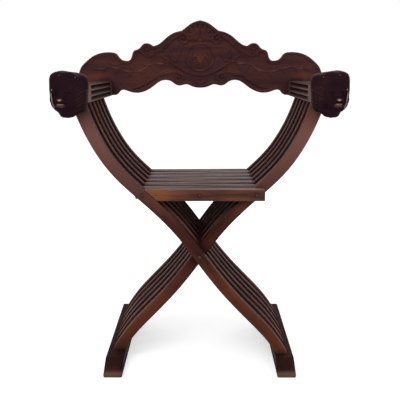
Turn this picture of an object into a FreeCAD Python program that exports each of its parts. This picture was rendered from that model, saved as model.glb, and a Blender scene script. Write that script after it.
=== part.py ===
import FreeCAD, Part
import math
import os
from FreeCAD import Vector

# Savonarola chair: two interleaved sets of curved legs that cross at one rod and fold like scissors.
# X runs to the sitter's left as seen from the front, Y from the front to the back, Z up.
# The origin is on the floor, in the middle of the space that the chair takes up.

os.makedirs("parts", exist_ok=True)

# Layers, counted from the front: odd ones hold the legs that fall to the right, even ones the mirrored legs
layer_count = 12
layer_pitch = 30.0
layer_gap = 0.8
slat_thick = layer_pitch - layer_gap
stack_depth = layer_count * layer_pitch

# Rods
rod_radius = 3.5
running_clearance = 0.05
rod_head_radius = 5.2
rod_head_height = 3.4
head_stand_off = 0.3
crossing_height = 272.0
seat_rod_height = 421.0
rod_spread = 134.0

# Legs
leg_width = 25.0
leg_top_width = 31.0
leg_foot_width = 23.0
arm_offset = 281.0
leg_inset = 4.0
foot_offset = 199.0
leg_tenon_side = 13.0
leg_tenon_length = 14.0
glue_gap = 0.1
leg_reach = arm_offset - leg_inset

# Runners
runner_height = 32.0
runner_inner = 182.0
runner_width = 44.0
runner_front_reach = 71.0
runner_slope_length = 49.0
runner_tip_height = 9.0
runner_soft_edge = 2.0
runner_front = -runner_front_reach
runner_rear = stack_depth + runner_front_reach

# Arms
arm_bottom = 633.5
arm_height = 44.0
arm_width = 44.0
arm_front = 36.0
arm_rear = 501.0
arm_soft_edge = 2.5
flute_count = 3
flute_radius = 6.4
flute_depth = 3.0
flute_pitch = 13.4
flute_margin = 46.0
arm_tenon_radius = 7.5
arm_tenon_length = 24.0
arm_top = arm_bottom + arm_height

# Seat slats
seat_height = 27.0
seat_overhang = 19.5
seat_soft_edge = 1.2
end_gap = 0.6

# Carved heads on the front of the arms, drawn at the right: a mane block with a small face low on its front
head_inner_reach = 28.8
head_outer_reach = 58.6
head_rise = 27.7
head_drop = 31.0
head_face_depth = 26.0
mane_taper_depth = 17.0
rim_depth = 2.0
rim_proud = 1.0
jaw_clear = 0.8
muzzle_shift = 11.5
muzzle_rise = 7.0
muzzle_width = 62.0
muzzle_height = 58.0
muzzle_depth = 28.0
nose_width = 26.0
nose_height = 13.0
nose_depth = 3.0
nose_rise = 11.0
mouth_height = 3.0
mouth_depth = 11.0
beard_width = 40.0
beard_height = 26.0
beard_depth = 14.0
eye_radius = 6.0
eye_depth = 7.0
eye_spread = 17.0
eye_rise = 26.5
head_width = head_inner_reach + head_outer_reach
head_bottom = arm_bottom - head_drop
head_height = arm_top + head_rise - head_bottom
head_middle_x = arm_offset - head_inner_reach + head_width / 2
head_middle_z = head_bottom + head_height / 2

# Crest rail. A dovetail on its face drops into the left arm, and a lap behind a shoulder of the right arm,
# which stops the arms from spreading and leaves that arm free to fold away.
crest_overhang = 76.0
crest_stand_up = 3.5
crest_bottom = arm_bottom + crest_stand_up
crest_height = 213.0
crest_thick = 26.0
crest_gap = 0.4
dovetail_neck = 12.0
dovetail_width = 18.0
dovetail_height = 32.0
joint_depth = 12.0
joint_clearance = 0.3
crest_front = arm_rear + crest_gap
crest_rear = crest_front + crest_thick
crest_half_width = arm_offset + crest_overhang

cut_over = 10.0
parallel_share = 0.001

# Points of the legs' middle line. Above the crossing: shares of leg_reach and of the rise to the arm.
# Below it: shares of foot_offset and of the drop to the runner. The side rod is a point of its own.
leg_low_shares = [(0.146, 0.151), (0.311, 0.289)]
leg_high_shares = [(0.705, 0.578), (0.824, 0.706), (0.932, 0.866), (1.0, 1.0), (1.046, 1.1)]
leg_foot_shares = [(0.32, 0.345), (0.613, 0.607), (0.85, 0.82), (1.0, 1.0), (1.1, 1.15)]
leg_arcs = 9

# Head outline, seen from the front, as shares of the head's width from its inner side and of its height
head_outline_shares = [(0.095, 0.151), (0.26, 0.112), (0.43, 0.054), (0.593, 0.0), (0.741, 0.044),
                       (0.81, 0.141), (0.884, 0.18), (0.955, 0.307), (0.998, 0.54), (1.0, 0.784),
                       (0.954, 0.944), (0.833, 1.0), (0.513, 0.988), (0.227, 0.959), (0.055, 0.901),
                       (0.0, 0.784), (0.015, 0.443), (0.038, 0.248)]
head_arcs = 14
oval_arcs = 4
mane_front_share = 0.86
form_front_share = 0.6

# Crest outline on the left half, as shares of its half width and of its height, from the end to the middle
crest_lobe_shares = [(1.0, 0.29), (0.982, 0.375), (0.938, 0.455), (0.878, 0.53), (0.811, 0.571),
                     (0.738, 0.58), (0.692, 0.562), (0.667, 0.512), (0.642, 0.477), (0.615, 0.467)]
crest_step_shares = [(0.615, 0.467), (0.585, 0.469), (0.568, 0.496), (0.557, 0.552), (0.54, 0.602),
                     (0.512, 0.618), (0.49, 0.645), (0.468, 0.685), (0.435, 0.7), (0.403, 0.682),
                     (0.386, 0.662)]
crest_rise_shares = [(0.386, 0.662), (0.352, 0.676), (0.32, 0.709), (0.262, 0.79), (0.205, 0.842),
                     (0.15, 0.864)]
crest_crown_shares = [(0.15, 0.864), (0.112, 0.912), (0.068, 0.963), (0.0, 1.0)]
crest_under_shares = [(0.0, 0.104), (0.06, 0.118), (0.113, 0.15), (0.17, 0.134), (0.205, 0.15),
                      (0.24, 0.192), (0.28, 0.208), (0.318, 0.2), (0.36, 0.161), (0.41, 0.1),
                      (0.47, 0.05), (0.53, 0.036), (0.59, 0.056), (0.633, 0.077), (0.66, 0.066),
                      (0.68, 0.026), (0.71, 0.0)]
crest_end_shares = [(0.9, 0.0), (0.955, 0.04), (0.99, 0.14), (1.0, 0.29)]

origin_y = (runner_front + crest_rear) / 2


def export(name, shape):
    # Each piece is built with the front face of the first layer at Y = 0, then set about the origin.
    placed = shape.copy()
    placed.translate(Vector(0, -origin_y, 0))
    placed.exportStep("parts/" + name + ".step")
    solids = len(placed.Solids)
    print(name, "solids", solids, "valid", placed.isValid(), "volume", round(placed.Volume))


def box(x0, y0, z0, x1, y1, z1):
    return Part.makeBox(x1 - x0, y1 - y0, z1 - z0, Vector(x0, y0, z0))


def rod(x, z, y0, y1, radius):
    return Part.makeCylinder(radius, y1 - y0, Vector(x, y0, z), Vector(0, 1, 0))


def flip(shape):
    return shape.mirror(Vector(0, 0, 0), Vector(1, 0, 0))


def layer_front(layer):
    # Layers are numbered from 1 at the front
    return (layer - 1) * layer_pitch + layer_gap / 2


def chamfer_along(shape, size, direction):
    # Softens the straight arrises that run along one direction
    edges = [edge for edge in shape.Edges if edge.Curve.TypeId == "Part::GeomLine"
             and abs(edge.tangentAt(edge.FirstParameter).dot(direction)) > 1 - parallel_share]
    return shape.makeChamfer(size, edges)


def spline(points, closed=False):
    # A smooth curve in the plane Y = 0
    curve = Part.BSplineCurve()
    curve.interpolate(Points=[Vector(x, 0, z) for x, z in points], PeriodicFlag=closed)
    return curve


def arc_chain(points):
    # Each arc runs through three points in a row
    return [Part.Arc(*points[start:start + 3]).toShape() for start in range(0, len(points) - 2, 2)]


def arcs_along(curve, count):
    first, last = curve.FirstParameter, curve.LastParameter
    steps = range(2 * count + 1)
    return arc_chain([curve.value(first + (last - first) * step / (2 * count)) for step in steps])


# Legs

def leg_middle_points():
    # The left half of the leg rises to the arm, the right half falls to its runner
    rise = arm_bottom - crossing_height
    drop = crossing_height - runner_height
    upper = [(-x * leg_reach, crossing_height + z * rise) for x, z in leg_low_shares]
    upper.append((-rod_spread, seat_rod_height))
    upper += [(-x * leg_reach, crossing_height + z * rise) for x, z in leg_high_shares]
    lower = [(x * foot_offset, crossing_height - z * drop) for x, z in leg_foot_shares]
    return upper[::-1] + [(0.0, crossing_height)] + lower


def leg_face(spread):
    # spread widens the outline on both sides, for the gap that a seat slat's end keeps
    middle = spline(leg_middle_points())
    first, last = middle.FirstParameter, middle.LastParameter
    crossing = middle.parameter(Vector(0, 0, crossing_height))
    inner, outer = [], []
    for step in range(2 * leg_arcs + 1):
        at = first + (last - first) * step / (2 * leg_arcs)
        point = middle.value(at)
        along = middle.tangent(at)[0]
        if at < crossing:
            end_width, share = leg_top_width, (crossing - at) / (crossing - first)
        else:
            end_width, share = leg_foot_width, (at - crossing) / (last - crossing)
        half = (leg_width + (end_width - leg_width) * share ** 2) / 2 + spread
        inner.append(point + Vector(-along.z, 0, along.x) * half)
        outer.append(point - Vector(-along.z, 0, along.x) * half)
    ends = [Part.makeLine(inner[end], outer[end]) for end in (0, -1)]
    return Part.Face(Part.Wire(Part.__sortEdges__(arc_chain(inner) + arc_chain(outer) + ends)))


def leg_blank():
    body = leg_face(0.0).extrude(Vector(0, slat_thick, 0))
    reach = arm_offset + arm_width
    body = body.common(box(-reach, 0, runner_height, reach, slat_thick, arm_bottom))
    top = tenon(-leg_reach, arm_bottom, arm_bottom + leg_tenon_length, 0.0)
    foot = tenon(foot_offset, runner_height - leg_tenon_length, runner_height, 0.0)
    return body.fuse([top, foot])


def tenon(x, low, high, clearance):
    # Square in plan and in the middle of a leg's thickness; clearance widens it for the mortise
    half = leg_tenon_side / 2 + clearance
    return box(x - half, slat_thick / 2 - half, low, x + half, slat_thick / 2 + half, high)


def bored(shape, x, z, clearance):
    return shape.cut(rod(x, z, -cut_over, slat_thick + cut_over, rod_radius + clearance))


def make_legs():
    blank = leg_blank()
    own_bores = bored(blank, -rod_spread, seat_rod_height, glue_gap / 2)
    falling = bored(own_bores, 0, crossing_height, glue_gap / 2)
    rising = flip(bored(own_bores, 0, crossing_height, running_clearance))
    for layer in range(1, layer_count + 1):
        odd = layer % 2 == 1
        leg = (falling if odd else rising).copy()
        leg.translate(Vector(0, layer_front(layer), 0))
        name = "leg_left_" if odd else "leg_right_"
        export(name + str((layer + 1) // 2), leg)


# Seat slats

def seat_blank():
    # A slat of an odd layer: square end at the right, the other end cut along the leg it butts against
    low = seat_rod_height - seat_height / 2
    high = seat_rod_height + seat_height / 2
    slat = box(-rod_spread - seat_overhang, 0, low, rod_spread + seat_overhang, slat_thick, high)
    leg = leg_face(end_gap).extrude(Vector(0, slat_thick, 0))
    slat = sorted(slat.cut(leg).Solids, key=lambda solid: solid.Volume)[-1]
    slat = chamfer_along(slat, seat_soft_edge, Vector(1, 0, 0))
    slat = bored(slat, rod_spread, seat_rod_height, running_clearance)
    return bored(slat, 0, seat_rod_height, glue_gap / 2)


def make_seat():
    blank = seat_blank()
    for layer in range(1, layer_count + 1):
        odd = layer % 2 == 1
        slat = (blank if odd else flip(blank)).copy()
        slat.translate(Vector(0, layer_front(layer), 0))
        export("seat_slat_" + str(layer), slat)


# Rods with domed heads

def dome(x, z, y, way):
    # way is -1 at the front and 1 at the back; the dome's flat side is at y
    bulge = (rod_head_radius ** 2 + rod_head_height ** 2) / (2 * rod_head_height)
    centre = Vector(x, y + way * (rod_head_height - bulge), z)
    y0, y1 = sorted((y, y + way * (rod_head_height + cut_over)))
    span = bulge + cut_over
    return Part.makeSphere(bulge, centre).common(box(x - span, y0, z - span, x + span, y1, z + span))


def headed_rod(x, z):
    front = layer_front(1) - head_stand_off
    back = layer_front(layer_count) + slat_thick + head_stand_off
    shaft = rod(x, z, front - rod_head_height / 2, back + rod_head_height / 2, rod_radius)
    return shaft.fuse([dome(x, z, front, -1), dome(x, z, back, 1)])


def make_rods():
    export("rod_crossing", headed_rod(0, crossing_height))
    export("rod_left", headed_rod(-rod_spread, seat_rod_height))
    export("rod_right", headed_rod(rod_spread, seat_rod_height))
    # The middle seat rod is cut at the slats' faces, so that each set of slats carries its own lengths
    whole = headed_rod(0, seat_rod_height)
    reach = rod_head_radius + cut_over
    for name, first in (("rod_middle_odd", 1), ("rod_middle_even", 2)):
        lengths = []
        for layer in range(first, layer_count + 1, 2):
            front = layer_front(layer)
            back = front + slat_thick
            if layer == 1:
                front -= cut_over
            if layer == layer_count:
                back += cut_over
            window = box(-reach, front, seat_rod_height - reach, reach, back, seat_rod_height + reach)
            lengths.append(whole.common(window))
        export(name, Part.makeCompound(lengths))


# Runners

def runner_blank():
    # The runner that carries the feet of the odd layers, at the right
    tip = runner_slope_length
    profile = [(runner_front, 0), (runner_front, runner_tip_height), (runner_front + tip, runner_height),
               (runner_rear - tip, runner_height), (runner_rear, runner_tip_height), (runner_rear, 0)]
    points = [Vector(runner_inner, y, z) for y, z in profile]
    face = Part.Face(Part.makePolygon(points + points[:1]))
    return face.extrude(Vector(runner_width, 0, 0))


def make_runner(name, odd):
    runner = runner_blank()
    upper = [edge for edge in runner.Edges if edge.BoundBox.ZMax > runner_tip_height / 2]
    runner = runner.makeChamfer(runner_soft_edge, upper)
    for layer in range(1 if odd else 2, layer_count + 1, 2):
        floor = runner_height - leg_tenon_length - glue_gap
        mortise = tenon(foot_offset, floor, runner_height + cut_over, glue_gap)
        mortise.translate(Vector(0, layer_front(layer), 0))
        runner = runner.cut(mortise)
    export(name, runner if odd else flip(runner))


# Arms

def flute(side, height):
    # A long groove that runs out at both ends; side is -1 for the face towards the sitter, 1 for the other
    x = arm_offset + side * (arm_width / 2 + flute_radius - flute_depth)
    y0 = arm_front + flute_margin + flute_radius
    y1 = arm_rear - flute_margin - flute_radius
    groove = rod(x, height, y0, y1, flute_radius)
    for y, way in ((y0, -1), (y1, 1)):
        groove = groove.fuse(Part.makeCone(flute_radius, flute_radius - flute_depth, flute_radius,
                                           Vector(x, y, height), Vector(0, way, 0)))
    return groove


def dovetail(clearance):
    # In plan, from the rear end of the arm forwards; clearance widens it for the groove. Drawn at the right.
    neck = dovetail_neck / 2 + clearance
    wide = dovetail_width / 2 + clearance
    front = arm_rear - joint_depth - clearance
    rear = crest_front + joint_depth / 2
    low = arm_top - dovetail_height - clearance
    plan = [(-neck, rear), (-neck, arm_rear), (-wide, front), (wide, front), (neck, arm_rear), (neck, rear)]
    points = [Vector(arm_offset + x, y, low) for x, y in plan]
    face = Part.Face(Part.makePolygon(points + points[:1]))
    return face.extrude(Vector(0, 0, dovetail_height + clearance))


def lap(clearance, overrun):
    # The right arm's end is cut back on its outer side, and the crest's lap fills the cut
    shoulder = arm_offset - dovetail_width / 2 - clearance
    front = arm_rear - joint_depth - clearance
    rear = crest_front + joint_depth / 2
    outer = arm_offset + arm_width / 2 + overrun
    return box(shoulder, front, arm_bottom - overrun, outer, rear, arm_top + overrun)


def make_arm(name, odd):
    # The arm at the right carries the even layers' legs
    inner = arm_offset - arm_width / 2
    arm = box(inner, arm_front, arm_bottom, inner + arm_width, arm_rear, arm_top)
    arm = chamfer_along(arm, arm_soft_edge, Vector(0, 1, 0))
    middle_z = arm_bottom + arm_height / 2
    for side in (-1, 1):
        for index in range(flute_count):
            height = middle_z + (index - (flute_count - 1) / 2) * flute_pitch
            arm = arm.cut(flute(side, height))
    arm = arm.fuse(rod(arm_offset, middle_z, arm_front - arm_tenon_length, arm_front + arm_tenon_length,
                       arm_tenon_radius))
    for layer in range(1 if odd else 2, layer_count + 1, 2):
        arm = arm.cut(leg_socket(layer))
    arm = arm.cut(dovetail(joint_clearance) if odd else lap(joint_clearance, cut_over))
    export(name, flip(arm) if odd else arm)


def leg_socket(layer):
    mortise = tenon(leg_reach, arm_bottom - cut_over, arm_bottom + leg_tenon_length + glue_gap, glue_gap)
    mortise.translate(Vector(0, layer_front(layer), 0))
    return mortise


# Heads

def head_ring(y, share):
    # The outline of the mane block at y, drawn in towards its middle by share
    width, height = head_width * share, head_height * share
    points = [(head_middle_x + (x - 1 / 2) * width, head_middle_z + (z - 1 / 2) * height)
              for x, z in head_outline_shares]
    ring = Part.Wire(arcs_along(spline(points, closed=True), head_arcs))
    ring.translate(Vector(0, y, 0))
    return ring


def oval(x, y, z, width, height):
    turns = [math.pi * step / oval_arcs for step in range(2 * oval_arcs + 1)]
    points = [Vector(x + width / 2 * math.cos(turn), y, z + height / 2 * math.sin(turn)) for turn in turns]
    return Part.Wire(arc_chain(points))


def oval_form(x, z, width, height, y0, y1):
    # From its full oval at y0 to a smaller one at y1, which is nearer to the front
    front = oval(x, y1, z, width * form_front_share, height * form_front_share)
    return Part.makeLoft([oval(x, y0, z, width, height), front], True, True)


def make_head(name, odd):
    face = -head_face_depth
    seat = face + mane_taper_depth / 2
    block = Part.makeLoft([head_ring(face, mane_front_share), head_ring(face + mane_taper_depth, 1),
                           head_ring(arm_front - rim_depth, 1)], True, True)
    rim = Part.Face(head_ring(arm_front - rim_depth, 1 + rim_proud / head_width * 2))
    rim = rim.extrude(Vector(0, rim_depth, 0))
    muzzle_x = head_middle_x + muzzle_shift
    muzzle_front = face - muzzle_depth
    nose_z = arm_bottom + nose_rise
    forms = [
        rim,
        oval_form(muzzle_x, arm_bottom + muzzle_rise, muzzle_width, muzzle_height, seat, muzzle_front),
        oval_form(muzzle_x, nose_z, nose_width, nose_height, face, muzzle_front - nose_depth),
        oval_form(head_middle_x, head_bottom + beard_height / 2, beard_width, beard_height, seat,
                  face - beard_depth)]
    for side in (-1, 1):
        forms.append(oval_form(muzzle_x + side * eye_spread, arm_bottom + eye_rise,
                               eye_radius * 2, eye_radius * 2, seat, face - eye_depth))
    head = block.fuse(forms)
    mouth_top = nose_z - nose_height / 3
    head = head.cut(box(muzzle_x - nose_width / 2, muzzle_front - cut_over, mouth_top - mouth_height,
                        muzzle_x + nose_width / 2, muzzle_front + mouth_depth, mouth_top))
    head = head.cut(box(head_middle_x - head_width, -jaw_clear, head_bottom - cut_over,
                        head_middle_x + head_width, arm_front + cut_over, arm_bottom))
    socket_z = arm_bottom + arm_height / 2
    head = head.cut(rod(arm_offset, socket_z, arm_front - arm_tenon_length - glue_gap, arm_front + cut_over,
                        arm_tenon_radius + glue_gap))
    if odd:
        head = head.cut(leg_socket(1))
    export(name, flip(head) if odd else head)


# Crest rail

def crest_edges(side):
    # One half of the outline. Each table of shares is a smooth run between two corners.
    edges = []
    for shares in (crest_lobe_shares, crest_step_shares, crest_rise_shares, crest_crown_shares,
                   crest_under_shares, crest_end_shares):
        edges += arcs_along(spline(crest_points(shares, side)), len(shares))
    corners = crest_points([crest_under_shares[-1], crest_end_shares[0]], side)
    edges.append(Part.makeLine(*[Vector(x, 0, z) for x, z in corners]))
    return edges


def crest_points(shares, side):
    return [(side * x * crest_half_width, crest_bottom + z * crest_height) for x, z in shares]


def make_crest():
    wire = Part.Wire(Part.__sortEdges__(crest_edges(-1) + crest_edges(1)))
    crest = Part.Face(wire).extrude(Vector(0, crest_thick, 0))
    crest.translate(Vector(0, crest_front, 0))
    crest = crest.fuse([flip(dovetail(0.0)), lap(0.0, 0.0)])
    export("crest_rail", crest)


make_legs()
make_seat()
make_rods()
make_runner("runner_right", True)
make_runner("runner_left", False)
make_arm("arm_left", True)
make_arm("arm_right", False)
make_head("head_left", True)
make_head("head_right", False)
make_crest()
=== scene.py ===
import math
import random

import bmesh
import bpy
import numpy as np
from mathutils import Matrix, Vector


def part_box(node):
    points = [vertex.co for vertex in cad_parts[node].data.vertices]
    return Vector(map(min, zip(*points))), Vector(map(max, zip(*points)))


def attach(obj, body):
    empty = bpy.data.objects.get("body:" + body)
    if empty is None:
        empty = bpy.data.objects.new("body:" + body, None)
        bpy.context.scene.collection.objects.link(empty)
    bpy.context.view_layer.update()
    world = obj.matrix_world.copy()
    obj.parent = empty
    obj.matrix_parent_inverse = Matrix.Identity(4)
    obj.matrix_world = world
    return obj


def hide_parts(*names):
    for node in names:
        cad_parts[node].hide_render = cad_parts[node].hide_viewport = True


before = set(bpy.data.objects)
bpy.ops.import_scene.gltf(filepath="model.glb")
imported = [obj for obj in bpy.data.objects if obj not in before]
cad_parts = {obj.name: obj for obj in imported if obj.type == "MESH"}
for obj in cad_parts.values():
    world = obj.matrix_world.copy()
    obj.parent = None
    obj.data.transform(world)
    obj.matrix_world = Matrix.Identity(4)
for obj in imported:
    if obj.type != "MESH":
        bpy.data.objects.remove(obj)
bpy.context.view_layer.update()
draw = random.Random(12)


# Camera
# A long lens stands in front of the chair at about the height of its arms. It looks a little down on
# the seat.

photo_width = 400
lens_in_pixels = 734.0
sensor_width = 36.0
camera_place = (0.0082, -1.9155, 0.7177)
camera_pitch = 0.1799
camera_turn = 0.004
camera_roll = 0.0012

camera = bpy.data.objects.new("camera", bpy.data.cameras.new("camera"))
bpy.context.collection.objects.link(camera)
camera.data.sensor_width = sensor_width
camera.data.lens = lens_in_pixels / photo_width * sensor_width
camera.location = camera_place
camera.rotation_euler = (math.pi / 2 - camera_pitch, camera_roll, camera_turn)
bpy.context.scene.camera = camera
bpy.context.scene.view_settings.view_transform = "Standard"


# Floor and light
# A white sweep under soft light: a window-like lamp high in front, a weak one on the right and one behind.

white = (1.0, 1.0, 1.0, 1.0)
sky_level = 0.62
lamp_aim = (0.0, 0.0, 0.45)
lamps = [
    ("window", (-0.9, -2.6, 2.5), 1.8, 46.0),
    ("fill", (1.9, -1.9, 1.4), 1.6, 14.0),
    ("back", (0.4, 2.4, 2.6), 1.6, 26.0),
]
floor_reach = 30.0
floor_colour = (0.8, 0.8, 0.8, 1.0)
floor_glow = 0.55


def add_node(tree, kind, inputs, **settings):
    # Each input takes a fixed value or the output of another node
    node = tree.nodes.new(kind)
    for name, value in settings.items():
        setattr(node, name, value)
    for key, value in inputs.items():
        if isinstance(value, bpy.types.NodeSocket):
            tree.links.new(value, node.inputs[key])
        else:
            node.inputs[key].default_value = value
    return node


def seen_as(tree, lit, plain):
    # The plain shader answers the camera and mirrored rays, and the lit one all other light
    path = add_node(tree, "ShaderNodeLightPath", {})
    rays = {0: path.outputs["Is Camera Ray"], 1: path.outputs["Is Glossy Ray"]}
    either = add_node(tree, "ShaderNodeMath", rays, operation="MAXIMUM")
    return add_node(tree, "ShaderNodeMixShader", {0: either.outputs[0], 1: lit, 2: plain}).outputs[0]


def empty_tree(owner):
    owner.use_nodes = True
    owner.node_tree.nodes.clear()
    return owner.node_tree


def add_object(name, bm):
    mesh = bpy.data.meshes.new(name)
    bm.to_mesh(mesh)
    bm.free()
    made = bpy.data.objects.new(name, mesh)
    bpy.context.collection.objects.link(made)
    return made


world = bpy.data.worlds.new("studio")
bpy.context.scene.world = world
tree = empty_tree(world)
sky = add_node(tree, "ShaderNodeBackground", {"Color": white, "Strength": sky_level}).outputs[0]
backdrop = add_node(tree, "ShaderNodeBackground", {"Color": white}).outputs[0]
add_node(tree, "ShaderNodeOutputWorld", {"Surface": seen_as(tree, sky, backdrop)})

for name, place, size, power in lamps:
    light = bpy.data.lights.new(name, "AREA")
    light.size = size
    light.energy = power
    lamp = bpy.data.objects.new(name, light)
    lamp.location = place
    aim = Vector(lamp_aim) - Vector(place)
    lamp.rotation_euler = aim.to_track_quat("-Z", "Y").to_euler()
    bpy.context.collection.objects.link(lamp)

floor_shade = bpy.data.materials.new("floor_white")
tree = empty_tree(floor_shade)
matt = add_node(tree, "ShaderNodeBsdfDiffuse", {"Color": floor_colour}).outputs[0]
glow = add_node(tree, "ShaderNodeEmission", {"Strength": floor_glow}).outputs[0]
both = add_node(tree, "ShaderNodeAddShader", {0: matt, 1: glow}).outputs[0]
add_node(tree, "ShaderNodeOutputMaterial", {"Surface": seen_as(tree, matt, both)})
bm = bmesh.new()
bmesh.ops.create_grid(bm, x_segments=1, y_segments=1, size=floor_reach)
floor = add_object("floor", bm)
floor.data.materials.append(floor_shade)


# Runners
# Two sled feet of dark walnut, level on top and sloped down to a thin tip at each end.
# The legs' feet are tenoned into them, and they carry the first of the wood finishes.

runner_low, runner_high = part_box("runner_right")
runner_tip = 0.009
runner_slope = 0.049
runner_round = 0.0036
runner_splits = (0.12, 0.2, 0.3, 0.45, 0.6)
runner_rubbed = 0.62
runner_grimed = 0.55
wood_colours = ("Base", "Streak", "Amber", "Worn", "Pores and Shade")
wood_levels = ("Figure", "Glow", "Wear", "Corner Shade")
worn_edge_reach = 0.006
shaded_corner_reach = 0.03
grain_depth = 0.0004
mask_range = (0.1, 0.95)


def srgb(red, green, blue):
    # Colours are named as they look on a screen, from 0 to 255
    def linear(level):
        level /= 255
        return level / 12.92 if level <= 0.04045 else ((level + 0.055) / 1.055) ** 2.4
    return (linear(red), linear(green), linear(blue), 1.0)


def math_node(tree, operation, *values):
    return add_node(tree, "ShaderNodeMath", dict(enumerate(values)), operation=operation).outputs[0]


def mix_colour(tree, share, first, second):
    return add_node(tree, "ShaderNodeMix", {0: share, 6: first, 7: second}, data_type="RGBA").outputs[2]


def noise(tree, vector, stretch, detail):
    mapping = add_node(tree, "ShaderNodeMapping", {"Scale": stretch, "Vector": vector})
    inputs = {"Vector": mapping.outputs[0], "Scale": 1.0, "Detail": detail}
    return add_node(tree, "ShaderNodeTexNoise", inputs).outputs[0]


def ramp(tree, value, low, high):
    inputs = {"Value": value, "From Min": low, "From Max": high}
    return add_node(tree, "ShaderNodeMapRange", inputs).outputs[0]


def build_wood_group():
    # Long fibres, darker streaks, open pores, rubbed edges and painted shade in the corners
    group = bpy.data.node_groups.new("waxed_wood", "ShaderNodeTree")
    for way, kind, names in (("INPUT", "Vector", ("Grain",)), ("INPUT", "Color", wood_colours),
                             ("INPUT", "Float", wood_levels), ("OUTPUT", "Color", ("Color",)),
                             ("OUTPUT", "Float", ("Roughness", "Height"))):
        for name in names:
            group.interface.new_socket(name=name, in_out=way, socket_type="NodeSocket" + kind)
    given = group.nodes.new("NodeGroupInput").outputs
    grain = given["Grain"]

    def times(first, second):
        return math_node(group, "MULTIPLY", first, second)

    def plus_part(base, share, value):
        return math_node(group, "MULTIPLY_ADD", value, share, base)

    def occlusion(reach, inside):
        kind = "ShaderNodeAmbientOcclusion"
        return add_node(group, kind, {"Distance": reach}, inside=inside, samples=8).outputs["AO"]

    broad = noise(group, grain, (5.0, 60.0, 45.0), 3.0)
    fibre = noise(group, grain, (28.0, 900.0, 700.0), 4.0)
    pores = noise(group, grain, (90.0, 2200.0, 1800.0), 2.0)
    cloud = noise(group, grain, (9.0, 9.0, 9.0), 3.0)
    patch = noise(group, grain, (7.0, 16.0, 16.0), 2.0)
    streaks = times(ramp(group, broad, 0.4, 0.66), given["Figure"])
    lines = ramp(group, fibre, 0.42, 0.68)
    amber = times(ramp(group, patch, 0.45, 0.7), given["Glow"])
    open_pore = times(ramp(group, pores, 0.6, 0.72), 0.5)
    wear_and_sheen = times(ramp(group, occlusion(worn_edge_reach, True), 0.62, 0.34), ramp(group, cloud, 0.35, 0.6))
    wear_and_sheen = times(wear_and_sheen, given["Wear"])
    # Painted shade: the dark pore colour is mixed in and the surface roughened wherever nearby surfaces
    # enclose it
    corner_shade = times(ramp(group, occlusion(shaded_corner_reach, False), 0.85, 0.3), given["Corner Shade"])
    colour = given["Base"]
    for share, name in ((amber, "Amber"), (plus_part(times(streaks, 0.7), 0.45, lines), "Streak"),
                        (open_pore, "Pores and Shade"), (wear_and_sheen, "Worn"), (corner_shade, "Pores and Shade")):
        colour = mix_colour(group, share, colour, given[name])
    rough = plus_part(plus_part(plus_part(0.3, 0.3, cloud), 0.1, lines), 0.45, corner_shade)
    relief = plus_part(times(fibre, 0.8), -1.0, open_pore)
    add_node(group, "NodeGroupOutput", {"Color": colour, "Roughness": rough, "Height": relief})
    return group


wood_group = build_wood_group()


def wood(name, *colours, figure=0.7, glow=0.5, wear=0.7, corner_shade_level=1.0, gloss=0.06):
    material = bpy.data.materials.new(name)
    material.use_nodes = True
    tree = material.node_tree
    grain = add_node(tree, "ShaderNodeAttribute", {}, attribute_name="grain")
    inputs = dict(zip(wood_colours, [srgb(*colour) for colour in colours]))
    inputs.update(zip(wood_levels, (figure, glow, wear, corner_shade_level)), Grain=grain.outputs["Vector"])
    finish = add_node(tree, "ShaderNodeGroup", inputs, node_tree=wood_group).outputs
    bump = add_node(tree, "ShaderNodeBump", {"Distance": grain_depth, "Height": finish["Height"]})
    shader = tree.nodes["Principled BSDF"].inputs
    shader["Specular IOR Level"].default_value = gloss
    tree.links.new(finish["Color"], shader["Base Color"])
    tree.links.new(finish["Roughness"], shader["Roughness"])
    tree.links.new(bump.outputs[0], shader["Normal"])
    return material


def stained(material, mask_name, colour, dull=False):
    # Mixes a colour in where the mesh says so: paler where the finish is worn and where painted sheen and
    # highlights lie, redder where it glows, and darker where there is grime and where shade is painted. The
    # dull mixes take the shine off as well.
    tree = material.node_tree
    shader = tree.nodes["Principled BSDF"].inputs
    mask = add_node(tree, "ShaderNodeAttribute", {}, attribute_name=mask_name)
    share = ramp(tree, mask.outputs["Fac"], *mask_range)
    mixed = mix_colour(tree, share, shader["Base Color"].links[0].from_socket, srgb(*colour))
    tree.links.new(mixed, shader["Base Color"])
    if dull:
        gloss = shader["Specular IOR Level"].default_value
        tree.links.new(math_node(tree, "MULTIPLY_ADD", share, -gloss, gloss), shader["Specular IOR Level"])


def fade(value, zero, one):
    # Runs evenly from 0 to 1 between the two places, and stays level outside them
    return np.clip((value - zero) / (one - zero), 0, 1)


def masks(bm, *names):
    return [bm.verts.layers.float.new(name) for name in names]


def prism(bm, outline, shift):
    # Fills an outline and draws it out to a solid
    face = bm.faces.new([bm.verts.new(point) for point in outline])
    grown = bmesh.ops.extrude_face_region(bm, geom=[face])
    far = [item for item in grown["geom"] if isinstance(item, bmesh.types.BMVert)]
    bmesh.ops.translate(bm, vec=shift, verts=far)
    bmesh.ops.recalc_face_normals(bm, faces=bm.faces)


def ease(bm, edges, offset, segments):
    bmesh.ops.bevel(bm, geom=edges, offset=offset, segments=segments, profile=0.5, affect="EDGES",
                    material=-1)


def close_rim(bm):
    rim = [edge for edge in bm.edges if edge.is_boundary]
    bmesh.ops.holes_fill(bm, edges=rim, sides=len(rim))
    bmesh.ops.recalc_face_normals(bm, faces=bm.faces)


def split(bm, place, normal, **cleared):
    # Divides the faces along a plane. Where one side is cleared away, the cut is closed.
    bmesh.ops.bisect_plane(bm, geom=bm.verts[:] + bm.edges[:] + bm.faces[:], plane_co=place, plane_no=normal,
                           **cleared)
    if cleared:
        close_rim(bm)


def long_edges(bm, axis):
    return [edge for edge in bm.edges
            if abs((edge.verts[1].co - edge.verts[0].co).normalized()[axis]) > 0.99]


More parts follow.
